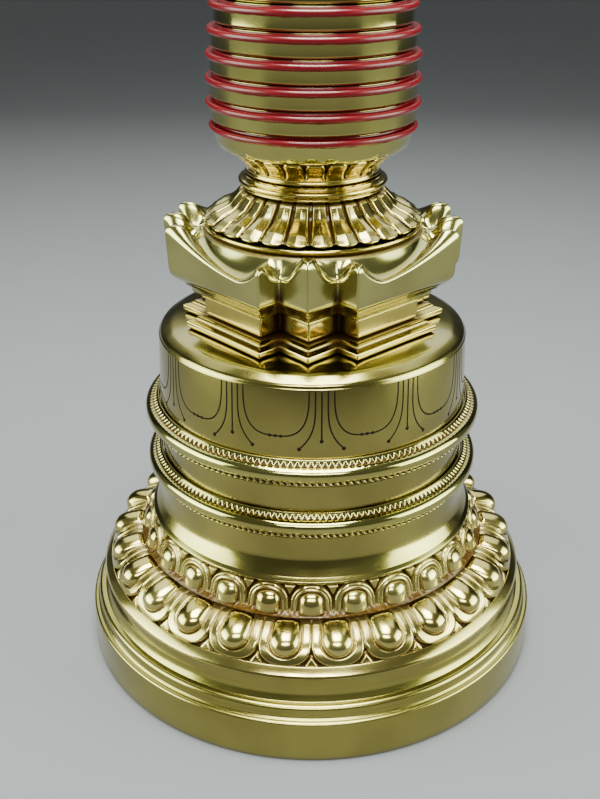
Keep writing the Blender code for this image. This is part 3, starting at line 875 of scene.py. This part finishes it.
def make_neck():
    """The neck: a fine ring, a fat round ring, and another fine ring."""
    foot, top = low("neck_ring"), high("neck_ring")
    turned_piece("neck_casting", [
        (19.0, foot, 0.1), (20.4, foot, 0.1), (20.9, foot + 0.55, 0.4), (20.2, foot + 1.0, 0.2),
        (21.0, foot + 1.1, 0.4), (21.9, foot + 1.9, 0.9), (21.5, foot + 2.9, 1.0),
        (20.2, foot + 3.1, 0.2), (20.6, foot + 3.5, 0.3), (20.0, top, 0.2), (19.0, top, 0.1),
    ], golden, SPIRE, ["neck_ring"], columns=208)


def make_cup():
    """The lotus cup: twenty-two leaves with dark clefts that open between their tips.

    A cleft's half width is a small share of the leaf low down and grows as a steep power
    near the tips.
    """
    foot, top = low("lotus_cup"), high("lotus_cup")
    leaves, per = 22, 30
    angle = round_angles(leaves * per)
    line = rounded([(18.9, foot, 0.1), (19.4, foot, 0.1), (19.9, foot + 0.5, 0.4),
                    (19.3, foot + 1.1, 0.3), (19.6, foot + 1.6, 0.8), (20.9, foot + 3.9, 4.0),
                    (23.6, foot + 6.3, 0.8), (23.2, top, 0.3), (18.9, top, 0.1)], 8)
    line = even(line, 0.30)
    r, z = line[:, :1], line[:, 1:]
    way = np.clip((z - foot - 1.5) / (top - foot - 1.5), 0.0, 1.0)
    phase = (angle + 0.5 * math.pi - math.radians(10.0)) * leaves / TAU
    w = 1.0 - 2.0 * np.abs(off_centre(phase))[None, :]
    face = (r > 19.2) & (z > foot + 1.4)
    gap = np.where(face, 0.11 * smooth_step(0.0, 0.1, way) + 0.32 * way ** 4, 0.0)
    inside = np.clip((1.0 - gap - w) / 0.35, 0.0, 1.0)
    cut = np.clip((w - 1.0 + gap) / 0.05, 0.0, 1.0) * face
    swell = np.where(face, 0.5 * (1.0 - inside) ** 2 * smooth_step(0.0, 0.3, way), 0.0)
    radius = r - swell - 1.3 * cut * smooth_step(0.0, 0.2, way)
    # Clefts painted dark: grime and painted shade.
    put_ring("cup_casting", radius, z, angle, golden, SPIRE,
             ["lotus_cup"], 1.3 * cut)


# ---- rings of the spire ----

def make_spire_ring(number):
    """One brass ring of the spire, and the lacquer on its lip and ledge.

    The lacquer's lower edge wanders as a sum of three slow waves round the ring.
    """
    node = "spire_ring_%02d" % number
    foot, top, rim = low(node), high(node), widest(node)
    band, neck = rim - 1.0, rim - 2.4
    lip = top - 2.3
    lead = [(neck - 0.2, foot, 0.1), (band - 0.5, foot + 0.05, 0.2), (band, foot + 0.6, 0.5)]
    if number == 1:
        lead = [(25.0, foot - 0.05, 0.1), (25.9, foot, 0.3), (27.1, foot + 0.75, 0.9),
                (27.8, foot + 2.2, 2.0), (28.3, foot + 4.2, 3.0)]
    turned_piece(node.replace("spire_ring", "band"), [(8.6, foot, 0.1)] + lead + [
        (band, lip, 0.15), (rim - 0.1, lip + 0.25, 0.3), (rim, lip + 0.9, 0.5),
        (rim - 0.15, top - 0.7, 0.3), (neck, top - 0.7, 0.2), (neck, top, 0.1),
        (8.6, top, 0.1)], polished, SPIRE, [node],
        columns=208, steps=4)
    angle = round_angles(288)
    wander = (0.55 * np.sin(3.0 * angle + 1.7 * number) + 0.30 * np.sin(11.0 * angle + number)
              + 0.25 * np.sin(29.0 * angle + 2.3 * number))
    outline = rounded([(neck + 0.04, top - 0.10, 0.0), (neck + 0.06, top - 0.62, 0.1),
                       (rim - 0.35, top - 0.60, 0.45), (rim + 0.09, top - 1.1, 0.5),
                       (rim + 0.09, lip + 0.55, 0.4), (band + 0.55, lip - 0.10, 0.3),
                       (band + 0.06, lip - 0.16, 0.0), (band - 0.12, lip - 0.02, 0.0),
                       (band - 0.12, top - 0.95, 0.0), (neck - 0.12, top - 0.95, 0.0),
                       (neck - 0.12, top - 0.12, 0.0)], 5)[::-1]
    r, z = outline[:, :1], outline[:, 1:]
    hem = np.exp(-((r - band - 0.06) / 0.12) ** 2) * (z < lip + 0.05)
    put_ring(node.replace("spire_ring", "lacquer"), r, z + 0.17 * wander * hem - 0.05 * hem,
             angle, crimson, SPIRE)


# ---- crown ----

def make_cap():
    """The cap on the spire: a ring of small upright leaves over a turned foot."""
    foot, top, rim = low("spire_cap"), high("spire_cap"), widest("spire_cap")
    leaves, per = 20, 16
    angle = round_angles(leaves * per)
    line = even(rounded([(6.2, foot, 0.1), (rim - 1.6, foot, 0.3), (rim - 0.2, foot + 1.0, 0.6),
                         (rim - 0.3, foot + 1.9, 0.5), (rim - 3.0, foot + 3.0, 2.0),
                         (rim - 3.6, top, 0.4), (6.2, top, 0.1)], 6), 0.25)
    r, z = line[:, :1], line[:, 1:]
    w = np.abs(np.sin(0.5 * leaves * angle))
    upper = smooth_step(foot + 1.6, foot + 2.4, z) * smooth_step(6.6, 7.4, r)
    cut = (1.0 - smooth_step(0.10, 0.32, w)) * upper
    # Clefts between leaves painted dark: grime and painted shade.
    put_ring("cap_casting", r - 0.55 * cut, z - 0.2 * cut, angle, carved, SPIRE,
             ["spire_cap"], 1.1 * cut)


def make_parasol():
    """The parasol: sixteen gores that belly between ribs, with a scalloped hanging edge."""
    foot, top, rim = low("parasol"), high("parasol"), widest("parasol")
    gores, per = 16, 20
    angle = round_angles(gores * per)
    line = even(rounded([(2.9, foot + 0.3, 0.1), (8.2, foot + 0.3, 0.3), (8.4, foot + 4.2, 0.6),
                         (12.2, foot + 4.0, 1.5), (17.6, foot + 1.6, 1.2),
                         (18.5, foot + 0.1, 0.2), (rim, foot + 0.1, 0.3),
                         (19.5, foot + 2.1, 2.0), (17.4, foot + 4.4, 4.0),
                         (12.6, foot + 6.6, 8.0), (6.8, foot + 8.2, 4.0), (4.4, top, 0.6),
                         (2.9, top, 0.1)], 6), 0.34)
    r, z = line[:, :1], line[:, 1:]
    lobe = np.abs(np.sin(0.5 * gores * angle))
    outer = smooth_step(5.0, 12.0, r) * smooth_step(foot + 0.8, foot + 2.2, z)
    outer = outer * (z > foot + 4.7 - 0.9 * np.maximum(0.0, r - 12.0))
    edge = 1.0 - smooth_step(foot, foot + 1.6, z)
    radius = r - 0.55 * (1.0 - lobe) ** 2 * outer
    level = z + edge * (1.3 * (1.0 - lobe) ** 1.5) * (r > 17.0)
    # Clefts between gores painted dark: grime and painted shade.
    grime_and_shade = (1.0 - smooth_step(0.05, 0.22, lobe)) * outer
    put_ring("parasol_casting", radius, level, angle, carved, CROWN,
             ["parasol"], grime_and_shade)


def make_knop():
    """The round knop that joins the parasol to the crescent, with turned grooves."""
    foot, top, rim = low("crown_knop"), high("crown_knop"), widest("crown_knop")
    turned_solid("knop_casting", [
        (3.4, foot, 0.2), (4.4, foot + 0.4, 0.4), (4.6, foot + 0.8, 0.15),
        (rim, foot + 1.3, 0.6), (rim - 0.1, foot + 2.3, 0.7), (4.5, foot + 3.1, 0.15),
        (4.4, foot + 3.4, 0.3), (3.2, top - 0.2, 0.4), (1.6, top, 0.2)], polished, CROWN,
        ["crown_knop"], columns=96)


def make_moon():
    """The crescent: an ellipse carried along between two arcs, thinning to its horns."""
    foot = low("crescent_moon")
    stations, around = 120, 36
    outer, inner, lift = 12.5, 10.2, 3.0
    turn = np.linspace(-1.0, 1.0, stations)
    sweep = turn * math.radians(128.0)
    direction = np.stack([np.sin(sweep), -np.cos(sweep)], 1)
    drop = direction[:, 1] * lift
    reach = drop + np.sqrt(drop ** 2 + inner ** 2 - lift ** 2)
    half = np.maximum(0.04, 0.5 * (outer - reach))
    middle = outer - half
    t = round_angles(around)[None, :]
    thick = 1.6 * np.sqrt(np.clip(1.0 - np.abs(turn) ** 3, 0.001, 1.0))[:, None]
    away = middle[:, None] + half[:, None] * np.cos(t)
    x = away * direction[:, :1]
    z = foot + outer + away * direction[:, 1:]
    y = thick * np.sin(t) + 0.0 * away
    points = np.stack([x, y, z], -1).reshape(-1, 3)
    points, faces = capped(points, stations, around, points[:around].mean(0),
                           points[-around:].mean(0))
    put_piece("moon_casting", points, faces, polished, CROWN,
              ["crescent_moon"])


def make_sun():
    """The sun in the crescent: a ball flattened from front to back, rayed at its edge."""
    around, rows = 128, 64
    turn = round_angles(around)[None, :]
    climb = np.linspace(-0.5 * math.pi, 0.5 * math.pi, rows + 2)[1:-1, None]
    wide, deep = 5.2, 3.2
    middle = 0.5 * (low("sun_disc") + high("sun_disc"))
    x, z = np.cos(climb) * np.cos(turn), np.sin(climb)
    edge = smooth_step(0.62, 0.80, np.hypot(x, z))
    ray = 1.0 - 0.035 * (1.0 + np.cos(16.0 * np.arctan2(z, x))) * edge
    points = np.stack([wide * ray * x, deep * ray * np.cos(climb) * np.sin(turn),
                       middle + wide * ray * z], -1)
    points, faces = capped(points, rows, around, (0.0, 0.0, middle - wide),
                           (0.0, 0.0, middle + wide))
    put_piece("sun_casting", points, faces, polished, CROWN, ["sun_disc"])


def make_jewel():
    """The fluted jewel: its sides swell out and sweep in to a point."""
    foot, top, rim = low("jewel_finial"), high("jewel_finial"), widest("jewel_finial")
    flutes, per, rows = 8, 18, 72
    angle = round_angles(flutes * per)
    way = np.linspace(0.015, 0.985, rows)[:, None]
    swell = way ** 0.55 * (1.0 - way) ** 1.05
    swell = swell / swell.max()
    flute = 1.0 - 0.10 * (1.0 - np.abs(np.sin(0.5 * flutes * angle))) * swell
    points = turn_points(rim * swell * flute, foot + (top - foot) * way, angle)
    points, faces = capped(points, rows, flutes * per, (0.0, 0.0, foot), (0.0, 0.0, top))
    put_piece("jewel_casting", points, faces, polished, CROWN,
              ["jewel_finial"])


make_harmika()
make_skirt()
make_neck()
make_cup()
for ring_number in range(1, 14):
    make_spire_ring(ring_number)
make_cap()
make_parasol()
make_knop()
make_moon()
make_sun()
make_jewel()

for node_name, finish in (("life_pole", pole_wood), ("mantra_scroll", scroll_paper),
                          ("spire_peg", satin), ("spire_core_tube", satin),
                          ("crown_pin", satin)):
    cad_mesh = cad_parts[node_name].data
    cad_mesh.materials.clear()
    cad_mesh.materials.append(finish)


# ---- stage, camera and light ----

def make_floor():
    """A plain pale floor that curves up behind."""
    steps = 24
    turn = np.linspace(0.0, 0.5 * math.pi, steps)
    y = np.concatenate([[-2.0], 0.9 + 0.5 * np.sin(turn), [1.4]])
    z = np.concatenate([[0.0], 0.5 - 0.5 * np.cos(turn), [2.4]])
    left = np.stack([np.full(len(y), -2.2), y, z], 1)
    right = left * [-1.0, 1.0, 1.0]
    mesh = bpy.data.meshes.new("floor")
    i = np.arange(len(y) - 1)
    faces = np.stack([i, i + len(y), i + len(y) + 1, i + 1], 1)
    mesh.from_pydata(np.vstack([left, right]).tolist(), [], faces.tolist())
    mesh.polygons.foreach_set("use_smooth", [True] * len(faces))
    mesh.materials.append(plain_look("pale_floor", (0.125, 0.123, 0.133), 0.75, scale=30.0,
                                     depth=0.0, dark=0.93))
    add_object("floor", mesh)


def area_light(name, place, aim, width, tall, power, colour=(1.0, 1.0, 1.0), beam=180.0):
    """A rectangular soft light that faces a point, its light held to a beam in degrees."""
    lamp = bpy.data.lights.new(name, "AREA")
    lamp.shape = "RECTANGLE"
    lamp.size, lamp.size_y = width, tall
    lamp.energy = power
    lamp.color = colour
    lamp.spread = math.radians(beam)
    thing = add_object(name, lamp)
    thing.location = place
    thing.rotation_euler = (Vector(aim) - Vector(place)).to_track_quat("-Z", "Y").to_euler()


def make_lights():
    """Panels and small lamps at both sides, a ceiling, skies behind and in front, a dim room."""
    for side in (-1.0, 1.0):
        angle = math.radians(80.0)
        place = (side * 0.85 * math.sin(angle), -0.85 * math.cos(angle), 0.36)
        area_light("side_panel", place, (0.0, 0.0, 0.24), 0.80, 0.70, 7.0,
                   (0.85, 1.0, 0.84), 85.0)
        area_light("top_lamp", (side * 0.13, -0.80, 0.98), (0.0, 0.0, 0.1), 0.10, 0.10, 1.8)
    area_light("ceiling", (0.0, -0.08, 0.95), (0.0, -0.02, 0.1), 0.50, 0.50, 9.0,
               (0.93, 1.0, 0.95), 100.0)
    area_light("back_sky", (0.0, 0.72, 0.92), (0.0, 0.0, 0.12), 1.5, 0.95, 5.6,
               (0.90, 1.0, 0.92), 110.0)
    area_light("front_sky", (0.0, -0.95, 1.0), (0.0, 0.0, 0.1), 0.85, 0.30, 5.0,
               (0.95, 1.0, 0.96), 100.0)
    world = bpy.data.worlds.new("room")
    world.use_nodes = True
    air = world.node_tree.nodes["Background"].inputs
    air["Color"].default_value = (0.86, 1.0, 0.90, 1.0)
    air["Strength"].default_value = 0.20
    bpy.context.scene.world = world


def make_camera():
    """The viewing angle: in front of the spire's upper rings, looking down at the base."""
    camera = bpy.data.cameras.new("camera")
    camera.lens = 46.86
    camera.sensor_width = 36.0
    camera.clip_start = 0.01
    thing = add_object("camera", camera)
    thing.location = (0.0, -0.3009, 0.2290)
    pitch, yaw = math.radians(26.19), math.radians(-0.715)
    ahead = Vector((math.sin(yaw) * math.cos(pitch), math.cos(yaw) * math.cos(pitch),
                    -math.sin(pitch)))
    thing.rotation_euler = ahead.to_track_quat("-Z", "Y").to_euler()
    bpy.context.scene.camera = thing


make_floor()
make_lights()
make_camera()

bpy.context.view_layer.update()
